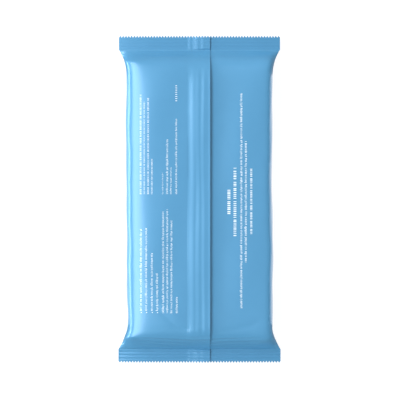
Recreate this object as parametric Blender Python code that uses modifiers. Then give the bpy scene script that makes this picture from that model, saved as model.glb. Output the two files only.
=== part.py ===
"""Wet wipes pack: a sealed flow-wrap pouch of blue film, with a reseal label on its front.

The pack lies on its front face, back face up. +Y runs along the pack, +X across it and
+Z up through its thickness. The origin is the middle of the footprint, on the surface
that the pack lies on. Lengths are in metres.
"""

from math import cos, pi, radians, sin

import bmesh
import bpy

# Driving dimensions
PACK_LENGTH = 0.2200  # tooth tip to tooth tip
SEAL_WIDTH = 0.1086  # the film tube pressed flat, as at its end seals
BODY_WIDTH = 0.0981  # the tube filled out by the stack of wipes
BODY_THICKNESS = 0.0220  # film to film, without the fin seal

# Reseal label, glued to the front face
LABEL_WIDTH = 0.0560
LABEL_LENGTH = 0.0920  # without its tab
LABEL_CORNER = 0.0090
LABEL_THICKNESS = 0.0003
TAB_WIDTH = 0.0200
TAB_LENGTH = 0.0080
TAB_CORNER = 0.0060
ARC_STEPS = 6  # for each rounded corner
FIT_GAP = 0.0003  # between the label and the film that it is glued to

# End seals: both films welded flat between ribbed jaws, then cut by a toothed knife
SEAL_DEPTH = 0.0092  # tooth tips to inner edge
SEAL_THICKNESS = 0.0006
SEAL_LEVEL = 0.0095  # mid plane of the seals
RIB_COUNT = 3
RIB_PITCH = 0.0025
RIB_HEIGHT = 0.0003
RIB_START = 0.0004  # inner edge of the seal to its first rib
TOOTH_COUNT = 57
TOOTH_DEPTH = 0.00135
KNIFE_MARGIN = 0.0005  # film beyond the tooth tips, removed by the knife
KNIFE_DEPTH = 0.0060

# Pouch shape between the end seals
FLARE_LENGTH = 0.0160  # over which the seal's width narrows to the body's
FLARE_POWER = 1.8
RAMP_LENGTH = 0.0200  # over which the thickness grows from the seal to the full body
RAMP_POWER = 2.4
RAMP_ROUNDNESS = 1.35
RAMP_STATIONS = 12
RAMP_CROWDING = 1.6  # above 1, the ramp's stations crowd towards the seal
BODY_SQUARENESS = 3.0  # superellipse power of a section through the body
SEAL_SQUARENESS = 12.0
ROUNDING_RATE = 3.0  # a section reaches the body's squareness at 1/3 of the full thickness
FRONT_SLACK = 0.0018  # how far the front face would bulge if nothing lay under it
COLUMNS = 24  # facets across each face of the pouch
CORE_STATIONS = (0.0, 0.030, 0.055, 0.070)  # distances from the middle, where the section is constant
WELD_DISTANCE = 0.00001  # for joining the two mirrored halves

# Fin seal: the film's two long edges welded together and folded flat onto the back face
FIN_ROOT = -0.0080  # X of the fold
FIN_EDGE = 0.0070  # X of the free edge
FIN_THICKNESS = 0.0004
FIN_GAP = 0.0003  # under the flap, beside its root
FIN_LIFT = 0.0007  # under its free edge
FIN_SINK = 0.00015  # how deep the flap is welded in at its root and in the end seals
FIN_WELD_WIDTH = 0.0007
FIN_RELEASE = 0.0080  # over which the flap comes free of the end seal

POUCH_FLOOR = LABEL_THICKNESS + FIT_GAP
BACK_RISE = POUCH_FLOOR + BODY_THICKNESS - SEAL_LEVEL
FRONT_DROP = SEAL_LEVEL - POUCH_FLOOR + FRONT_SLACK
SEAL_EDGE = PACK_LENGTH / 2 - SEAL_DEPTH  # Y of an end seal's inner edge

FILM_BLUE = (0.122, 0.376, 0.658, 1.0)
LABEL_WHITE = (0.80, 0.84, 0.87, 1.0)


def smooth_step(t):
    t = min(1.0, max(0.0, t))
    return t * t * (3 - 2 * t)


def half_width(y):
    """Half the pouch's width at a station along it."""
    inward = max(0.0, SEAL_EDGE - abs(y))
    flare = max(0.0, 1 - inward / FLARE_LENGTH) ** FLARE_POWER
    return (BODY_WIDTH + (SEAL_WIDTH - BODY_WIDTH) * flare) / 2


def fullness(y):
    """0 in the end seals, rising over the ramp to 1 in the body."""
    inward = min(RAMP_LENGTH, max(0.0, SEAL_EDGE - abs(y)))
    return (1 - (1 - inward / RAMP_LENGTH) ** RAMP_POWER) ** (1 / RAMP_ROUNDNESS)


def rib_offset(y):
    """Height of the crimp ribs, which both films of an end seal share."""
    along = (abs(y) - SEAL_EDGE - RIB_START) / RIB_PITCH
    return RIB_HEIGHT * sin(2 * pi * along) if 0 < along < RIB_COUNT else 0.0


def film_heights(x, y):
    """Heights of the back and front films at a point of the pouch."""
    full = fullness(y)
    power = SEAL_SQUARENESS + (BODY_SQUARENESS - SEAL_SQUARENESS) * min(1.0, ROUNDING_RATE * full)
    across = min(1.0, abs(x) / half_width(y))
    swell = (1 - across**power) ** (1 / power)
    middle = SEAL_LEVEL + rib_offset(y)
    welded = SEAL_THICKNESS / 2 * (1 - full)
    back = middle + swell * (welded + BACK_RISE * full)
    front = middle - swell * (welded + FRONT_DROP * full)
    return back, max(front, POUCH_FLOOR)


def stations(end):
    """Y of each section from the middle of the pack out to one end."""
    ramp = [SEAL_EDGE - RAMP_LENGTH * (1 - i / RAMP_STATIONS) ** RAMP_CROWDING for i in range(RAMP_STATIONS)]
    ribs = [SEAL_EDGE + RIB_START + RIB_PITCH * i / 4 for i in range(4 * RIB_COUNT + 1) if i % 4 != 2]
    return [*CORE_STATIONS, *ramp, SEAL_EDGE, *ribs, end]


def section(y):
    """Closed ring of points round the pouch: along the back film, then back along the front film."""
    across = [half_width(y) * sin(pi * (i / COLUMNS - 0.5)) for i in range(COLUMNS + 1)]
    back = [(x, y, film_heights(x, y)[0]) for x in across]
    front = [(x, y, film_heights(x, y)[1]) for x in across[-2:0:-1]]
    return back + front


def new_material(name, colour, roughness):
    material = bpy.data.materials.new(name)
    material.use_nodes = True
    shader = material.node_tree.nodes["Principled BSDF"]
    shader.inputs["Base Color"].default_value = colour
    shader.inputs["Roughness"].default_value = roughness
    shader.inputs["Metallic"].default_value = 0.0
    return material


def new_object(name, bm, collection):
    mesh = bpy.data.meshes.new(name)
    bmesh.ops.recalc_face_normals(bm, faces=bm.faces)
    bm.to_mesh(mesh)
    bm.free()
    obj = bpy.data.objects.new(name, mesh)
    collection.objects.link(obj)
    return obj


def make_helper(obj):
    """A construction shape: seen as wire, and no part of the pack."""
    obj.hide_render = True
    obj.display_type = "WIRE"
    return obj


def mirror_along_pack(obj):
    mirror = obj.modifiers.new("other_half", "MIRROR")
    mirror.use_axis = (False, True, False)
    mirror.use_clip = True
    mirror.merge_threshold = WELD_DISTANCE


def build_pouch_half(collection):
    """Loft from the middle of the pack, where it is open, out to one welded end."""
    bm = bmesh.new()
    rings = [
        [bm.verts.new(point) for point in section(y)]
        for y in stations(PACK_LENGTH / 2 + KNIFE_MARGIN)
    ]
    for inner, outer in zip(rings, rings[1:]):
        for i in range(len(inner)):
            bm.faces.new((inner[i - 1], outer[i - 1], outer[i], inner[i]))
    bm.faces.new(rings[-1])
    pouch = new_object("film_pouch", bm, collection)
    mirror_along_pack(pouch)
    return pouch


def fin_height(x, y, welded_in):
    """Underside of the fin's flap: sunk into the film where it is welded, and free elsewhere."""
    film = film_heights(0.0, y)[0]
    towards_edge = (x - FIN_ROOT) / (FIN_EDGE - FIN_ROOT)
    gap = FIN_GAP + (FIN_LIFT - FIN_GAP) * towards_edge
    freed = 0.0 if welded_in else smooth_step((SEAL_EDGE - abs(y)) / FIN_RELEASE)
    return film - FIN_SINK + (gap + FIN_SINK) * freed


def build_fin_flap(collection):
    """The folded fin as a ribbon over the back film, joined to it along the fold and in the end seals."""
    columns = (FIN_ROOT, FIN_ROOT + FIN_WELD_WIDTH, FIN_ROOT + 2 * FIN_WELD_WIDTH, 0.0, FIN_EDGE)
    bm = bmesh.new()
    rows = [
        [bm.verts.new((x, y, fin_height(x, y, i < 2))) for i, x in enumerate(columns)]
        for y in stations(PACK_LENGTH / 2 + 2 * KNIFE_MARGIN)
    ]
    for inner, outer in zip(rows, rows[1:]):
        for i in range(len(columns) - 1):
            bm.faces.new((inner[i], inner[i + 1], outer[i + 1], outer[i]))
    flap = make_helper(new_object("fin_flap", bm, collection))
    mirror_along_pack(flap)
    thickness = flap.modifiers.new("two_films", "SOLIDIFY")
    thickness.thickness = FIN_THICKNESS
    thickness.offset = 1.0
    return flap


def build_knife(collection):
    """What the toothed knives remove beyond both ends: a slab whose inner side is a zigzag."""
    half_pitch = SEAL_WIDTH / TOOTH_COUNT / 2
    tip = PACK_LENGTH / 2
    reach = TOOTH_COUNT + 2  # in half pitches, so that the zigzag runs past the corners of the film
    outline = []
    for i in range(-reach, reach + 1):
        at_valley = (i + TOOTH_COUNT) % 2 == 0
        outline.append((i * half_pitch, tip - TOOTH_DEPTH if at_valley else tip))
    outline += [(side * reach * half_pitch, tip + TOOTH_DEPTH) for side in (1, -1)]
    bm = bmesh.new()
    slab = bm.faces.new([bm.verts.new((x, y, SEAL_LEVEL - KNIFE_DEPTH / 2)) for x, y in outline])
    raised = bmesh.ops.extrude_face_region(bm, geom=[slab])["geom"]
    top = [v for v in raised if isinstance(v, bmesh.types.BMVert)]
    bmesh.ops.translate(bm, verts=top, vec=(0, 0, KNIFE_DEPTH))
    knife = make_helper(new_object("toothed_knife", bm, collection))
    mirror = knife.modifiers.new("other_end", "MIRROR")
    mirror.use_axis = (False, True, False)
    mirror.use_mirror_merge = False
    return knife


def build_pouch(parts, helpers, material):
    """One web of film: the filled tube with its folded fin, cut to length by the knives."""
    pouch = build_pouch_half(parts)
    for name, operation, other in (
        ("fold_fin_on", "UNION", build_fin_flap(helpers)),
        ("cut_teeth", "DIFFERENCE", build_knife(helpers)),
    ):
        boolean = pouch.modifiers.new(name, "BOOLEAN")
        boolean.operation = operation
        boolean.object = other
    pouch.data.materials.append(material)
    pouch.data.shade_smooth()
    return pouch


def arc_points(cx, cy, radius, start, end):
    """Points on an arc of the label's outline, from one angle to another in degrees."""
    angles = [radians(start + (end - start) * i / ARC_STEPS) for i in range(ARC_STEPS + 1)]
    return [(cx + radius * cos(a), cy + radius * sin(a)) for a in angles]


def label_outline():
    """Rounded rectangle with a rounded pull tab on its +Y end, anticlockwise from the lower left."""
    side = LABEL_WIDTH / 2 - LABEL_CORNER
    end = LABEL_LENGTH / 2 - LABEL_CORNER
    tab_side = TAB_WIDTH / 2 - TAB_CORNER
    tab_end = LABEL_LENGTH / 2 + TAB_LENGTH - TAB_CORNER
    return [
        *arc_points(-side, -end, LABEL_CORNER, 180, 270),
        *arc_points(side, -end, LABEL_CORNER, 270, 360),
        *arc_points(side, end, LABEL_CORNER, 0, 90),
        (TAB_WIDTH / 2, LABEL_LENGTH / 2),
        *arc_points(tab_side, tab_end, TAB_CORNER, 0, 90),
        *arc_points(-tab_side, tab_end, TAB_CORNER, 90, 180),
        (-TAB_WIDTH / 2, LABEL_LENGTH / 2),
        *arc_points(-side, end, LABEL_CORNER, 90, 180),
    ]


def build_label(parts, material):
    """Flat adhesive label on the front face, which the pack lies on."""
    curve = bpy.data.curves.new("reseal_label", "CURVE")
    curve.dimensions = "2D"
    curve.fill_mode = "BOTH"
    curve.extrude = LABEL_THICKNESS / 2
    outline = label_outline()
    spline = curve.splines.new("POLY")
    spline.points.add(len(outline) - 1)
    for point, (x, y) in zip(spline.points, outline):
        point.co = (x, y, 0, 1)
    spline.use_cyclic_u = True
    label = bpy.data.objects.new("reseal_label", curve)
    label.location.z = LABEL_THICKNESS / 2
    curve.materials.append(material)
    parts.objects.link(label)
    return label


def main():
    for obj in list(bpy.data.objects):
        bpy.data.objects.remove(obj)
    parts = bpy.data.collections.new("wet_wipes_pack")
    helpers = bpy.data.collections.new("cutters")
    for collection in (parts, helpers):
        bpy.context.scene.collection.children.link(collection)
    build_pouch(parts, helpers, new_material("blue_film", FILM_BLUE, 0.35))
    build_label(parts, new_material("white_label_film", LABEL_WHITE, 0.40))


main()
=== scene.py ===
import random
from math import pi

import bmesh
import bpy
import numpy as np
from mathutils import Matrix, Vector
from mathutils.bvhtree import BVHTree


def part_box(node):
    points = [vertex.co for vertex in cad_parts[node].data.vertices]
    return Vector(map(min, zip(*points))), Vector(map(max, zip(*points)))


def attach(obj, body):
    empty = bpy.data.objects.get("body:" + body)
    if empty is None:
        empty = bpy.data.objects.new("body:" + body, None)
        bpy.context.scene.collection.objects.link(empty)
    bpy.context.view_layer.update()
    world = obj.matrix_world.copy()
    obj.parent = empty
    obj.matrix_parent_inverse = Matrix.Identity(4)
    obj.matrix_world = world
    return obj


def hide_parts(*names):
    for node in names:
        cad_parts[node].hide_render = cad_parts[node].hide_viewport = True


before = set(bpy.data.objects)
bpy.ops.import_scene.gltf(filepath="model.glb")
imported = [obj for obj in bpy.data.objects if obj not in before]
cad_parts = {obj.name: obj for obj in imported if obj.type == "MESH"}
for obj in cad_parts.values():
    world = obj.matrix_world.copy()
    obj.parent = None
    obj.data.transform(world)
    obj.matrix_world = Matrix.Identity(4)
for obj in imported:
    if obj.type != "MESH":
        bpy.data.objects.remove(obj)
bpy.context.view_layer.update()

mm = 0.001  # lengths below are in millimetres: x across the pack, y along it, z up

_, filmCorner = (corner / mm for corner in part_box("film_pouch"))
packEnd = filmCorner.y  # half the length, to the tips of the teeth
sealReach = filmCorner.x  # half the width at the end seals


# small tools

def linearColour(hexCode):
    # sRGB hex to the linear values that the shader takes
    parts = [int(hexCode[i:i + 2], 16) / 255 for i in (1, 3, 5)]
    return tuple(c / 12.92 if c <= 0.04045 else ((c + 0.055) / 1.055) ** 2.4 for c in parts) + (1.0,)


def addNode(tree, kind, settings=None, links=None):
    # settings name a node's own option or one of its inputs; links give an input its source
    node = tree.nodes.new(kind)
    for name, value in (settings or {}).items():
        if isinstance(name, int) or name in node.inputs:
            node.inputs[name].default_value = value
        else:
            setattr(node, name, value)
    for name, source in (links or {}).items():
        tree.links.new(source, node.inputs[name])
    return node


def ease(t):
    t = np.clip(t, 0.0, 1.0)
    return t * t * (3 - 2 * t)


def evenRise(t):
    # 0 to 1 like ease, but at a more even slope
    t = np.clip(t, 0.0, 1.0)
    return t - 0.05 * np.sin(2 * pi * t)


def makePiece(name, points, faces, material, sharpAngle=50):
    # points in millimetres
    mesh = bpy.data.meshes.new(name)
    mesh.from_pydata((np.asarray(points) * mm).tolist(), [], faces)
    mesh.validate()
    mesh.shade_smooth()
    mesh.set_sharp_from_angle(angle=sharpAngle * pi / 180)
    mesh.materials.append(material)
    piece = bpy.data.objects.new(name, mesh)
    bpy.context.scene.collection.objects.link(piece)
    return piece


# camera: looks straight down on the pack, as it lies

camera = {
    "lens": 135,
    "sensor": 36,
    "view": 268.96,  # height of floor that the picture takes in, at the level of the end seals
    "level": 9.5,
    "shift": (0.37, -0.47),
}


def addCamera():
    data = bpy.data.cameras.new("camera")
    data.lens = camera["lens"]
    data.sensor_width = camera["sensor"]
    data.clip_end = 100
    seen = bpy.data.objects.new("camera", data)
    distance = camera["view"] / camera["sensor"] * camera["lens"]
    seen.location = Vector((*camera["shift"], camera["level"] + distance)) * mm
    bpy.context.scene.collection.objects.link(seen)
    bpy.context.scene.camera = seen


addCamera()

# materials

film = {
    "blue": "#5297C3",
    "deepBlue": "#4F93BF",
    "roughness": 0.30,
    "specular": 0.5,
    "metallic": 0.15,
    "coat": 0.42,
    "coatRoughness": 0.18,
    "roughnessDrift": 0.04,
    "sealShadeTone": "#F4F8FA",  # painted shade: the ink is drawn darker over both end seals
    "sealShadeFade": 0.6,
    "mottle": 9.0,  # slow drift of the ink's depth
    "grain": 0.5,  # orange peel of the laminate
    "grainHeight": 0.02,
    "grainStrength": 0.08,
}


def printedFilm():
    # gravure-printed, laminated film: satin, its ink a little pearly, so highlights are broad and pale
    material = bpy.data.materials.new("gravure_printed_laminate_film")
    material.use_nodes = True
    tree = material.node_tree
    shader = tree.nodes["Principled BSDF"]
    shader.inputs["Specular IOR Level"].default_value = film["specular"]
    shader.inputs["Metallic"].default_value = film["metallic"]
    shader.inputs["Coat Weight"].default_value = film["coat"]
    shader.inputs["Coat Roughness"].default_value = film["coatRoughness"]
    place = addNode(tree, "ShaderNodeTexCoord")
    mottle = addNode(tree, "ShaderNodeTexNoise", {"Scale": 1 / (film["mottle"] * mm), "Detail": 3.0},
                     {"Vector": place.outputs["Object"]})
    ink = addNode(tree, "ShaderNodeMix",
                  {"data_type": "RGBA", 6: linearColour(film["blue"]), 7: linearColour(film["deepBlue"])},
                  {0: mottle.outputs["Fac"]})
    spot = addNode(tree, "ShaderNodeSeparateXYZ", None, {"Vector": place.outputs["Object"]})
    fromMiddle = addNode(tree, "ShaderNodeMath", {"operation": "ABSOLUTE"}, {0: spot.outputs["Y"]})
    # painted shade: over the end seals the ink is multiplied by a pale grey, so the seals are drawn darker
    # than the body
    inner = packEnd - max(pouch["sealDepth"])
    fade = film["sealShadeFade"]
    weld = addNode(tree, "ShaderNodeMapRange",
                   {"From Min": (inner - fade) * mm, "From Max": (inner + fade) * mm},
                   {"Value": fromMiddle.outputs["Value"]})
    tone = addNode(tree, "ShaderNodeMix",
                   {"data_type": "RGBA", "blend_type": "MULTIPLY", 7: linearColour(film["sealShadeTone"])},
                   {0: weld.outputs["Result"], 6: ink.outputs[2]})
    tree.links.new(tone.outputs[2], shader.inputs["Base Color"])
    grain = addNode(tree, "ShaderNodeTexNoise", {"Scale": 1 / (film["grain"] * mm), "Detail": 2.0},
                    {"Vector": place.outputs["Object"]})
    drift = film["roughnessDrift"]
    satin = addNode(tree, "ShaderNodeMapRange",
                    {"To Min": film["roughness"] - drift, "To Max": film["roughness"] + drift},
                    {"Value": grain.outputs["Fac"]})
    tree.links.new(satin.outputs["Result"], shader.inputs["Roughness"])
    bump = addNode(tree, "ShaderNodeBump",
                   {"Strength": film["grainStrength"], "Distance": film["grainHeight"] * mm},
                   {"Height": grain.outputs["Fac"]})
    tree.links.new(bump.outputs["Normal"], shader.inputs["Normal"])
    return material


inkLook = {"thin": "#DDEFF8", "full": "#F2FAFD", "cover": 0.4, "roughness": 0.4}


def whiteInk():
    # white gravure ink on the laminate: flat, and as satin as the film round it
    material = bpy.data.materials.new("white_gravure_ink")
    material.use_nodes = True
    tree = material.node_tree
    shader = tree.nodes["Principled BSDF"]
    place = addNode(tree, "ShaderNodeTexCoord")
    cover = addNode(tree, "ShaderNodeTexNoise", {"Scale": 1 / (inkLook["cover"] * mm), "Detail": 1.0},
                    {"Vector": place.outputs["Object"]})
    ink = addNode(tree, "ShaderNodeMix",
                  {"data_type": "RGBA", 6: linearColour(inkLook["thin"]), 7: linearColour(inkLook["full"])},
                  {0: cover.outputs["Fac"]})
    tree.links.new(ink.outputs[2], shader.inputs["Base Color"])
    shader.inputs["Roughness"].default_value = inkLook["roughness"]
    return material


labelLook = {"shade": "#E8EEF1", "white": "#F3F7F9", "cloud": 6, "roughness": 0.38}


def labelFilm():
    # die-cut polypropylene label stock, white and satin
    material = bpy.data.materials.new("white_polypropylene_label")
    material.use_nodes = True
    tree = material.node_tree
    shader = tree.nodes["Principled BSDF"]
    place = addNode(tree, "ShaderNodeTexCoord")
    cloud = addNode(tree, "ShaderNodeTexNoise", {"Scale": 1 / (labelLook["cloud"] * mm), "Detail": 2.0},
                    {"Vector": place.outputs["Object"]})
    white = addNode(tree, "ShaderNodeMix",
                    {"data_type": "RGBA", 6: linearColour(labelLook["shade"]),
                     7: linearColour(labelLook["white"])},
                    {0: cloud.outputs["Fac"]})
    tree.links.new(white.outputs[2], shader.inputs["Base Color"])
    shader.inputs["Roughness"].default_value = labelLook["roughness"]
    return material


inkFinish = whiteInk()
labelFinish = labelFilm()
print("materials made")

# film pouch: one web of film, as rings round the pack from end to end

pouch = {
    "sealDepth": (9.1, 9.3),  # bottom and top, from tooth tips to inner edge
    "sealLevel": 9.5,
    "sealThickness": 0.35,
    "bodyReach": 49.05,  # half the filled body's width
    "flare": ((5.5, 15.0, 1.6), (5.15, 17.0, 2.0)),  # extra reach, over what length, power: bottom, top
    # slow waves of the outline: side, where along it, height, half width
    "sideWaves": ((-1, 0, -0.40, 75), (-1, 38, 0.65, 30), (-1, -80, -0.7, 10),
                  (1, 14, -0.5, 16), (1, -38, 0.7, 14)),
    "backTop": 22.6,
    "frontLow": 0.62,
    "frontSlack": 1.8,  # how far the front would bulge if nothing lay under it
    # of the ramps, bottom and top: share of the rise, length, crispness, length to full height, soft start
    "shoulder": ((0.95, 8.5, 4.0, 27.0, 0.3), (0.93, 8.8, 2.3, 27.0, 2.0)),
    "bow": 0.35,  # how much shorter the ramps are at the sides
    "bodyPower": (4.5, 45.0),  # how late the section turns down: left, right
    "sealPower": (4.5, 12.0),  # the same beside the seals, where a section is less boxy
    "bodyRound": (4.5, 1.15),  # how round it then falls: 1 is a straight slanting wall
    "opening": 13.0,  # length over which a section turns from the one to the other
    "rounding": 9.0,  # length over which its sides become round
    "sectionSteps": 1441,
    "toothCount": 57,
    "toothDepth": 1.35,
    "toothZone": 2.4,  # rows this near the end lean towards the teeth
    "ribs": ((0.15, 2.3), (0.055, 2.3)),  # height and pitch of the crimp ribs: bottom, top
    "ribBand": (0.5, 9.0, 1.5),  # the ribs fade in over, end at, and fade out over
    # of the film below the fin's free edge, across the pack
    "dip": {"start": 4.0, "edge": 7.1, "under": 1.15, "drop": 0.46, "dropLength": 2.6, "fade": 19.0},
    "droop": ((0.95, 0.30), (0.55, 0.30)),  # of the seals' corners, bottom and top: left, right
    "droopFrom": 32,  # from there outwards, over
    "droopLength": 22,
    "rampZone": 24,  # length that has the ramps' finer rows
    "rows": {"body": 1.0, "ramp": 0.42, "seal": 0.29},  # spacing
}


filmFinish = printedFilm()


def endDistances(y):
    # how far a station lies inward of the bottom seal and of the top seal
    bottom, top = pouch["sealDepth"]
    return y + packEnd - bottom, packEnd - top - y


def sideReach(y, side):
    reach = np.full_like(y, pouch["bodyReach"])
    for inward, (extra, length, power) in zip(endDistances(y), pouch["flare"]):
        reach += extra * np.clip(1 - np.maximum(inward, 0) / length, 0, None) ** power
    for where, middle, height, width in pouch["sideWaves"]:
        if where == side:
            reach += height * np.exp(-((y - middle) / width) ** 2)
    return reach


def fullness(y, u):
    # 0 in the seals, rising past a soft shoulder to 1 in the body; sooner towards the sides, at u = -1 and 1
    full = np.ones(np.broadcast(y, u).shape)
    for inward, (share, steep, crispness, length, soft) in zip(endDistances(y), pouch["shoulder"]):
        s = np.maximum(inward, 0) * (1 + pouch["bow"] * u ** 4)
        t = (np.hypot(s, soft) - soft) / steep
        rise = share * t / (1 + t ** crispness) ** (1 / crispness)
        rise += (1 - share) * (1 - (1 - np.clip(s / length, 0, 1)) ** 2)
        full = np.minimum(full, rise)
    return full


def ribRelief(x, y):
    # crimp ribs of the sealing jaws, a little uneven along their length
    relief = np.zeros(np.broadcast(x, y).shape)
    fadeIn, end, fadeOut = pouch["ribBand"]
    for inward, (height, pitch) in zip(endDistances(y), pouch["ribs"]):
        depth = -inward
        band = ease(depth / fadeIn) * ease((end - depth) / fadeOut)
        sway = 0.35 * np.sin(x / 17 + 0.6) + 0.2 * np.sin(x / 7.3)
        relief += band * height * np.sin(2 * pi * (depth - 0.1 * sway) / pitch)
    return relief


def sectionHeight(u, inward):
    # height of the film over the seal's level, 0 to 1, across the pack from u = -1 to 1
    opened = ease(inward / pouch["opening"])
    rounded = ease(inward / pouch["rounding"])
    height = np.ones(np.broadcast(u, inward).shape)
    sides = zip((-1, 1), pouch["sealPower"], pouch["bodyPower"], pouch["bodyRound"])
    for side, start, power, rounding in sides:
        n = start * (power / start) ** opened
        m = 1 + (1 / rounding - 1) * rounded
        fall = np.clip(1 - np.abs(u) ** n, 0, 1) ** m
        height = np.where(u * side > 0, fall, height)
    return height


def cornerDroop(x, y):
    # the seals' corners hang a little
    drop = np.zeros(np.broadcast(x, y).shape)
    for inward, corners in zip(endDistances(y), pouch["droop"]):
        for side, depth in zip((-1, 1), corners):
            outward = np.clip((side * x - pouch["droopFrom"]) / pouch["droopLength"], 0, 1)
            drop += depth * outward ** 2 * ease((4 - inward) / 6)
    return drop


def ringShape(y, faceColumns):
    # one section at y: equal steps of film across the back, then back across the front
    left, right = sideReach(np.array([y]), -1)[0], sideReach(np.array([y]), 1)[0]
    inward = max(0.0, min(endDistances(y)))
    u = np.sin(np.linspace(-pi / 2, pi / 2, pouch["sectionSteps"]))
    full = fullness(y, u)
    x = (right - left) / 2 + (right + left) / 2 * u
    swell = sectionHeight(u, inward)
    weld = pouch["sealThickness"] / 2 * (1 - full)
    level = pouch["sealLevel"]
    back = level + swell * (weld + (pouch["backTop"] - level) * full)
    front = level - swell * (weld + (level - pouch["frontLow"] + pouch["frontSlack"]) * full)
    front = np.maximum(front, pouch["frontLow"])
    ring = []
    for z in (back, front):
        steps = np.concatenate([[0], np.cumsum(np.hypot(np.diff(x), np.diff(z)))])
        even = np.linspace(0, steps[-1], faceColumns + 1)
        acrossAt, heightAt = np.interp(even, steps, x), np.interp(even, steps, z)
        ring.append(np.stack([acrossAt, np.full_like(even, y), heightAt], 1))
    return np.concatenate([ring[0], ring[1][-2:0:-1]])


def stationRows():
    bottom, top = pouch["sealDepth"]
    zone = pouch["rampZone"]
    marks = [(-packEnd, "seal"), (-packEnd + bottom, "ramp"), (-packEnd + bottom + zone, "body"),
             (packEnd - top - zone, "ramp"), (packEnd - top, "seal"), (packEnd, None)]
    rows = []
    for (start, kind), (end, _) in zip(marks, marks[1:]):
        count = round((end - start) / pouch["rows"][kind])
        rows += list(np.linspace(start, end, count, endpoint=False))
    return np.array(rows + [packEnd])


faceColumns = 2 * pouch["toothCount"]
ringCount = 2 * faceColumns
rowsY = stationRows()


def cutTeeth(y, columns):
    # leans the last rows so that the end follows the knife's zigzag; odd columns are tips
    valley = pouch["toothDepth"] * (columns % 2 == 0)
    zone = pouch["toothZone"]
    for sign in (1, -1):
        over = np.clip((sign * y - (packEnd - zone)) / zone, 0, 1)
        y = y - sign * over * valley
    return y


creases = (
    # points along each soft fold of the back film, its height, and its width to either side
    {"path": ((-30, -70), (-22, -77.5), (-17, -83), (-11, -85.7), (-6, -86.5)), "height": 0.25, "width": 2.6},
    {"path": ((13, -88), (24, -86.5), (35, -84), (40, -80.5)), "height": 0.18, "width": 2.2},
)


# a shallow hollow at the lower left, where the wipes end: its edge, how steep it is, and its depth
hollow = {"edge": ((-6, -86), (-10.6, -84.5), (-17, -82), (-21.5, -77), (-27, -68), (-35, -56), (-50, -42)),
          "slope": 0.045, "depth": 1.1}


def hollowRelief(x, y):
    edgeX, edgeY = np.array(hollow["edge"]).T
    inside = np.maximum(0, np.interp(y, edgeY, edgeX) - x)
    return -hollow["depth"] * (1 - np.exp(-hollow["slope"] * inside / hollow["depth"]))


def nearPath(x, y, path):
    # distance from points to a broken line, and how far along it, 0 to 1
    best = np.full(x.shape, 1e9)
    along = np.zeros(x.shape)
    count = len(path) - 1
    for i in range(count):
        a, b = np.array(path[i], float), np.array(path[i + 1], float)
        d = b - a
        t = np.clip(((x - a[0]) * d[0] + (y - a[1]) * d[1]) / (d @ d), 0, 1)
        far = np.hypot(x - a[0] - t * d[0], y - a[1] - t * d[1])
        closer = far < best
        best = np.where(closer, far, best)
        along = np.where(closer, (i + t) / count, along)
    return best, along


rampFolds = (
    # cross folds pressed into each ramp, bottom then top: height, pitch, fade in, end, fade out, bow
    (0.16, 2.35, 1.5, 10.5, 3.0, 0.045),
    (0.06, 3.1, 1.0, 8.0, 4.0, 0.0),
)


def backWaves(x, y):
    # slow waves and soft folds of the back film, in millimetres
    bottomIn, topIn = endDistances(y)
    relief = -0.10 * np.sin(x / 9.0 + y / 31 + 0.8) * np.sin(y / 19 - 0.4)
    relief -= 0.07 * np.sin(x / 5.2 - y / 14 + 2.1)
    relief += hollowRelief(x, y)
    relief *= ease(np.minimum(bottomIn, topIn) / 6.0)
    for crease in creases:
        far, along = nearPath(x, y, crease["path"])
        relief -= crease["height"] * np.exp(-(far / crease["width"]) ** 2) * np.sin(pi * (0.1 + 0.8 * along))
    for inward, (height, pitch, fadeIn, end, fadeOut, bow) in zip((bottomIn, topIn), rampFolds):
        ramp = ease(inward / fadeIn) * ease((end - inward) / fadeOut)
        bowed = inward + bow * (30 - np.abs(x + 4))
        relief -= height * ramp * np.sin(2 * pi * bowed / pitch) * ease((46 - np.abs(x)) / 12)
    return relief


def finDip(x, y):
    # the film dips under the fin's free edge, drops a little more beyond it, and comes back slowly
    dip = pouch["dip"]
    inBody = ease(np.minimum(*endDistances(y)) / 14)
    beyond = np.maximum(x - dip["edge"], 0)
    depth = dip["under"] * ease((x - dip["start"]) / (dip["edge"] - dip["start"]))
    depth = depth + dip["drop"] * (1 - np.exp(-beyond / dip["dropLength"]))
    return depth * np.exp(-(beyond / dip["fade"]) ** 2) * inBody


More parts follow.
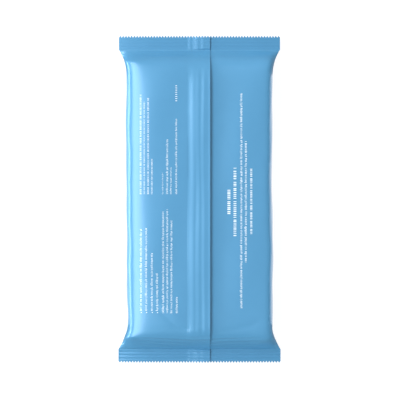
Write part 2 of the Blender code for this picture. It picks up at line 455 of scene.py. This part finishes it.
def buildPouch():
    grid = np.array([ringShape(y, faceColumns) for y in rowsY])
    columns = np.arange(ringCount)
    onBack = columns <= faceColumns
    x, y, z = grid[..., 0], grid[..., 1], grid[..., 2]
    across = np.roll(grid, -1, 1) - np.roll(grid, 1, 1)
    lengthwise = np.gradient(grid, axis=0)
    normal = np.cross(across, lengthwise)
    normal /= np.linalg.norm(normal, axis=2, keepdims=True) + 1e-9
    bottomIn, topIn = endDistances(y)
    body = ease(np.minimum(bottomIn, topIn) / 8.0)
    relief = np.where(onBack, backWaves(x, y) - finDip(x, y), 0.0) * ease((1 - np.abs(x) / 54) / 0.12)
    side = np.exp(-((np.abs(x) - pouch["bodyReach"]) / 3.0) ** 2) * body
    relief += 0.22 * side * np.sin(y / 6.3 + np.sign(x) + z / 4) * np.sin(y / 23 + z / 7 + 0.5)
    grid = grid + normal * relief[..., None]
    grid[..., 2] += ribRelief(x, y) - cornerDroop(x, y)
    grid[..., 2] = np.maximum(grid[..., 2], pouch["frontLow"])
    ringColumn = np.where(columns <= faceColumns, columns, ringCount - columns)
    grid[..., 1] = cutTeeth(grid[..., 1], np.broadcast_to(ringColumn, y.shape))
    count = len(rowsY)
    faces = []
    for j in range(count - 1):
        low, high = j * ringCount, (j + 1) * ringCount
        for i in range(ringCount):
            k = (i + 1) % ringCount
            faces.append((low + i, low + k, high + k, high + i))
    last = (count - 1) * ringCount
    for i in range(faceColumns):
        k = (ringCount - i) % ringCount
        m = ringCount - i - 1
        corners = list(dict.fromkeys((i, k, m, i + 1)))  # the cap ends in a triangle at either side
        faces.append(corners)
        faces.append([last + corner for corner in reversed(corners)])
    return grid, faces


filmGrid, filmFaces = buildPouch()
pouchSkin = makePiece("film_pouch_skin", filmGrid.reshape(-1, 3), filmFaces, filmFinish)


def fixNormals(piece):
    bm = bmesh.new()
    bm.from_mesh(piece.data)
    bmesh.ops.recalc_face_normals(bm, faces=bm.faces)
    bm.to_mesh(piece.data)
    bm.free()


fixNormals(pouchSkin)
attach(pouchSkin, "root")
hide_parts("film_pouch")
print("film pouch made:", len(filmFaces), "faces")

# fin seal: the film's long edges, welded together and folded flat

fin = {
    "root": -8.5,  # in half tooth pitches from the middle
    "edge": 7.5,
    "step": 0.25,
    "thickness": 0.22,
    "sealRise": 0.45,  # of the free edge in the seals, besides the pleats
    # pleats pressed into it by the sealing jaws: from, to, rise
    "pleats": ((-7.9, -6.1, 0.13), (-5.0, -0.9, 0.33), (0.3, 2.7, 0.17)),
    # soft steps up to the free edge in the body: from, to, rise
    "swells": ((-7.9, -3.4, 0.47), (-3.1, -0.4, 0.215), (1.0, 3.3, 0.205)),
    "curl": 0.10,  # of the free edge
    "opens": ((7, 9), (8, 16)),  # where the swells start and over what length, bottom and top
    "tuck": 0.03,  # the root lies this much lower, and reaches into the film by rootDepth
    "rootDepth": 0.4,
}


def backHeight(x, y):
    # height of the back film, without its small relief
    level = pouch["sealLevel"]
    u = x / sideReach(y, 1)
    full = fullness(y, u)
    weld = pouch["sealThickness"] / 2 * (1 - full)
    inward = np.maximum(0.0, np.minimum(*endDistances(y)))
    swell = sectionHeight(u, inward)
    return level + swell * (weld + (pouch["backTop"] - level) * full)


def finRelief(x, y, root, edge):
    # the folded fin stands off the film in long soft swells, and lies pleated in the seals
    bottomIn, topIn = endDistances(y)
    inward = np.minimum(bottomIn, topIn)
    (bottomStart, bottomLength), (topStart, topLength) = fin["opens"]
    wedge = ease((topIn - topStart) / topLength) * ease((bottomIn - bottomStart) / bottomLength)
    pressed = ease((0.6 - inward) / 1.2)
    height = fin["sealRise"] * np.clip((x - root) / (edge - root), 0, 1) * (1 - wedge)
    for start, end, rise in fin["pleats"]:
        height += rise * pressed * evenRise((x - start) / (end - start))
    for i, (start, end, rise) in enumerate(fin["swells"]):
        drift = 0.30 * np.sin(y / 34 + 1.7 * i) + 0.18 * np.sin(y / 13 + i)
        strength = 1 + 0.13 * np.sin(y / 27 + 2.3 * i) + 0.05 * np.sin(y / 9.5 + i)
        height += rise * strength * evenRise((x - start - drift) / (end - start)) * wedge
    return height + fin["curl"] * wedge * ease((x - edge + 1.6) / 1.6)


def buildFin():
    halfPitch = sealReach / pouch["toothCount"]
    marks = np.arange(fin["root"], fin["edge"] + 0.01, fin["step"])
    xs = marks * halfPitch
    x, y = np.meshgrid(xs, rowsY)
    root, edge = xs[0], xs[-1]
    base = backHeight(x, y) + backWaves(x, y) + ribRelief(x, y)
    top = base + finRelief(x, y, root, edge)
    under = top - fin["thickness"]
    top[:, 0] -= fin["tuck"]
    under[:, 0] = top[:, 0] - fin["rootDepth"]
    count, width = top.shape
    toothed = y.copy()
    for i, mark in enumerate(marks):
        # columns between a tip and a valley are cut half as deep
        fromTip = abs((mark % 2) - 1)
        valley = pouch["toothDepth"] * (1 - fromTip)
        over = np.clip((np.abs(y[:, i]) - (packEnd - pouch["toothZone"])) / pouch["toothZone"], 0, 1)
        toothed[:, i] = y[:, i] - np.sign(y[:, i]) * over * valley
    points = np.concatenate([np.stack([x, toothed, top], 2).reshape(-1, 3),
                             np.stack([x, toothed, under], 2).reshape(-1, 3)])
    base = count * width
    faces = []
    for j in range(count - 1):
        for i in range(width - 1):
            a = j * width + i
            faces.append((a, a + 1, a + width + 1, a + width))
            faces.append((base + a, base + a + width, base + a + width + 1, base + a + 1))
        for a, turn in ((j * width, 1), (j * width + width - 1, -1)):
            faces.append((a, a + width, base + a + width, base + a)[::turn])
    for i in range(width - 1):
        for a, turn in ((i, -1), ((count - 1) * width + i, 1)):
            faces.append((a, a + 1, base + a + 1, base + a)[::turn])
    return points, faces


finPoints, finFaces = buildFin()
finFlap = makePiece("folded_fin_seal", finPoints, finFaces, filmFinish)
fixNormals(finFlap)
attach(finFlap, "root")
print("fin seal made:", len(finFaces), "faces")

# print: small white copy reads up the pack, as plain ticks that spell nothing

printing = {
    "lift": 0.05,
    "thickness": 0.03,
    "above": 60,  # the film's height is felt for from there
    "word": (3, 9),  # ticks in a word
    "space": 0.75,  # between words, of the pitch
    "pitch": 0.62,  # from tick to tick, of a tick's height
    "dot": 0.55,  # bullet before a line, and the gap after it
    "dotGap": 1.5,
    "codePitch": 1.42,  # of the date code's separate bars
    # each line: place across the pack, from and to along it, height and weight of its ticks, and its kind
    "lines": (
        (-39.1, 3.5, 69.9, 1.20, 0.27, "heading"), (-36.7, 3.5, 65.2, 0.90, 0.25, "heading"),
        (-34.1, 3.5, 67.9, 1.20, 0.27, "heading"), (-31.6, 3.5, 28.0, 1.05, 0.27, "heading"),
        (-24.4, 3.5, 18.2, 0.70, 0.26, "copy"), (-21.4, 3.5, 40.4, 1.05, 0.32, "copy"),
        (-19.0, 3.5, 21.7, 0.80, 0.28, "copy"), (-15.4, 3.5, 54.0, 0.95, 0.30, "copy"),
        (-15.4, 65.2, 75.2, 1.20, 0.40, "code"),
        (-38.9, -75.5, -18.8, 1.05, 0.31, "bullet"), (-35.4, -75.5, -18.8, 1.05, 0.31, "bullet"),
        (-31.6, -75.5, -34.9, 1.10, 0.31, "bullet"), (-28.1, -75.5, -49.0, 1.10, 0.31, "bullet"),
        (-24.1, -75.5, -7.1, 1.10, 0.29, "copy"), (-21.4, -75.5, -5.7, 1.05, 0.29, "copy"),
        (-18.6, -75.5, -13.7, 1.05, 0.29, "copy"), (-15.1, -75.5, -64.2, 1.05, 0.29, "copy"),
        (19.6, -9.8, 7.5, 2.00, 0.43, "heading"), (23.6, -24.4, 22.8, 1.90, 0.40, "heading"),
        (27.8, -72.2, 70.6, 1.15, 0.34, "copy"), (30.8, -41.7, 39.4, 1.15, 0.34, "copy"),
        (34.4, -23.0, 21.4, 1.40, 0.38, "heading"),
    ),
}


def printLine(draw, x, start, end, height, weight, kind):
    # words of upright ticks with even gaps; in copy, some ticks stand taller or hang lower
    low, high = x + height / 2, x - height / 2
    if kind == "code":
        return [(high, low, at, at + weight) for at in np.arange(start, end, printing["codePitch"])]
    ticks = []
    at = start
    if kind == "bullet":
        middle, half = x + height / 4, printing["dot"] / 2
        ticks.append((middle - half, middle + half, at, at + 2 * half))
        at += printing["dotGap"]
    pitch = printing["pitch"] * height
    while at < end - pitch:
        for _ in range(draw.randint(*printing["word"])):
            if at > end - pitch:
                break
            wide = pitch * weight * draw.uniform(0.8, 1.5)
            tall = height * draw.choice((1.0, 1.0, 1.0, 1.0, 1.35))
            shift = draw.choice((0, 0, 0, 0.18)) * height
            if kind == "heading":
                tall, shift = height, 0
            ticks.append((low + shift - tall, low + shift, at, at + wide))
            at += pitch * draw.uniform(0.85, 1.25)
        at += pitch * printing["space"]
    return ticks


def buildPrint():
    draw = random.Random(7)
    tree = BVHTree.FromObject(pouchSkin, bpy.context.evaluated_depsgraph_get())
    points, faces = [], []
    for line in printing["lines"]:
        for x0, x1, y0, y1 in printLine(draw, *line):
            corners = ((x0, y0), (x1, y0), (x1, y1), (x0, y1))
            starts = [Vector((x, y, printing["above"])) * mm for x, y in corners]
            heights = [tree.ray_cast(start, Vector((0, 0, -1)))[0].z / mm for start in starts]
            first = len(points)
            for extra in (printing["lift"] - printing["thickness"], printing["lift"]):
                points += [(x, y, z + extra) for (x, y), z in zip(corners, heights)]
            a, b = first, first + 4
            faces += [(a + 3, a + 2, a + 1, a), (b, b + 1, b + 2, b + 3)]
            faces += [(a + i, a + (i + 1) % 4, b + (i + 1) % 4, b + i) for i in range(4)]
    return points, faces


printPoints, printFaces = buildPrint()
smallPrint = makePiece("small_white_print", printPoints, printFaces, inkFinish)
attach(smallPrint, "root")
print("print made:", len(printFaces), "faces")

# reseal label, on the face that the pack lies on

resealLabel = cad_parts["reseal_label"]
for place in resealLabel.material_slots:
    place.material = labelFinish
print("reseal label finished:", len(resealLabel.material_slots), "material")

# studio: pale floor, a big strip softbox to the left, low strips and fills around

studio = {
    "floor": "#808182",
    "floorSize": 12000,
    "floorLevel": -0.05,  # a hair below the label's underside
    "floorGlow": 0.91,  # a lit table top, so that shadows stay faint
    "brightFrom": (-0.25, 0.45, 0.85),  # the room is brightest from there
    "roomLight": (0.18, 0.50),  # dimmest and brightest
    "roomFade": (-0.3, 0.95),
    # white cards on either side: from, to, length along the pack, height
    "card": {"inner": 50, "outer": 400, "length": 170, "level": 0.2, "glow": 1.0},
    "boxes": (
        {"name": "left_strip_softbox", "place": (-753, 450, 1116), "aim": (0, 450, 10), "size": (2300, 700),
         "power": 25.0},
        {"name": "low_left_strip", "place": (-900, 0, 110), "aim": (0, 0, 10), "size": (1100, 330),
         "power": 7.4},
        {"name": "low_right_strip", "place": (900, 0, 60), "aim": (0, 0, 10), "size": (1100, 110),
         "power": 3.0, "mirrored": False},
        {"name": "front_fill", "place": (0, -1000, 300), "aim": (0, 0, 10), "size": (900, 300),
         "power": 2.2, "mirrored": False},
        {"name": "back_fill", "place": (0, 1000, 300), "aim": (0, 0, 10), "size": (900, 300),
         "power": 1.5, "mirrored": False},
    ),
}


def addSoftbox(box):
    data = bpy.data.lights.new(box["name"], "AREA")
    data.shape = "RECTANGLE"
    data.size, data.size_y = (side * mm for side in box["size"])
    data.energy = box["power"]
    lamp = bpy.data.objects.new(box["name"], data)
    lamp.location = Vector(box["place"]) * mm
    lamp.rotation_euler = (Vector(box["aim"]) - Vector(box["place"])).to_track_quat("-Z", "Y").to_euler()
    lamp.visible_glossy = box.get("mirrored", True)
    bpy.context.scene.collection.objects.link(lamp)


def addBounceCards():
    # white cards beside the pack, seen only in the gloss of its flanks
    card = studio["card"]
    material = bpy.data.materials.new("white_card")
    material.use_nodes = True
    shader = material.node_tree.nodes["Principled BSDF"]
    shader.inputs["Base Color"].default_value = (0, 0, 0, 1)
    shader.inputs["Emission Color"].default_value = (1, 1, 1, 1)
    shader.inputs["Emission Strength"].default_value = card["glow"]
    for name, side in (("left_bounce_card", -1), ("right_bounce_card", 1)):
        near, far = side * card["inner"], side * card["outer"]
        half, level = card["length"] / 2, card["level"]
        corners = [(near, -half, level), (far, -half, level), (far, half, level), (near, half, level)]
        piece = makePiece(name, corners, [(0, 1, 2, 3)], material)
        piece.visible_camera = piece.visible_diffuse = piece.visible_shadow = False


def addStudio():
    half = studio["floorSize"] / 2
    material = bpy.data.materials.new("matte_paper_floor")
    material.use_nodes = True
    shader = material.node_tree.nodes["Principled BSDF"]
    shader.inputs["Base Color"].default_value = linearColour(studio["floor"])
    shader.inputs["Roughness"].default_value = 0.9
    shader.inputs["Specular IOR Level"].default_value = 0.0
    shader.inputs["Emission Color"].default_value = (1, 1, 1, 1)
    shader.inputs["Emission Strength"].default_value = studio["floorGlow"]
    level = studio["floorLevel"]
    corners = [(-half, -half, level), (half, -half, level), (half, half, level), (-half, half, level)]
    floor = makePiece("floor", corners, [(0, 1, 2, 3)], material)
    floor.visible_glossy = False  # the film mirrors the room, not the white table
    world = bpy.data.worlds.new("studio")
    world.use_nodes = True
    tree = world.node_tree
    place = addNode(tree, "ShaderNodeTexCoord")
    toLight = addNode(tree, "ShaderNodeVectorMath",
                      {"operation": "DOT_PRODUCT", 1: Vector(studio["brightFrom"]).normalized()},
                      {0: place.outputs["Generated"]})
    dim, bright = studio["roomLight"]
    awayFrom, towards = studio["roomFade"]
    fade = addNode(tree, "ShaderNodeMapRange",
                   {"interpolation_type": "SMOOTHSTEP", "From Min": awayFrom, "From Max": towards,
                    "To Min": dim, "To Max": bright},
                   {"Value": toLight.outputs["Value"]})
    tree.nodes["Background"].inputs["Color"].default_value = (1, 1, 1, 1)
    seen = addNode(tree, "ShaderNodeLightPath")
    strength = addNode(tree, "ShaderNodeMix", {"data_type": "FLOAT", 3: 1.0},
                       {0: seen.outputs["Is Camera Ray"], 2: fade.outputs["Result"]})
    tree.links.new(strength.outputs[0], tree.nodes["Background"].inputs["Strength"])
    bpy.context.scene.world = world
    addBounceCards()
    for box in studio["boxes"]:
        addSoftbox(box)
    bpy.context.scene.view_settings.view_transform = "Standard"
    bpy.context.scene.cycles.denoising_prefilter = "NONE"  # keeps the knife's fine teeth crisp


addStudio()
print("studio made")
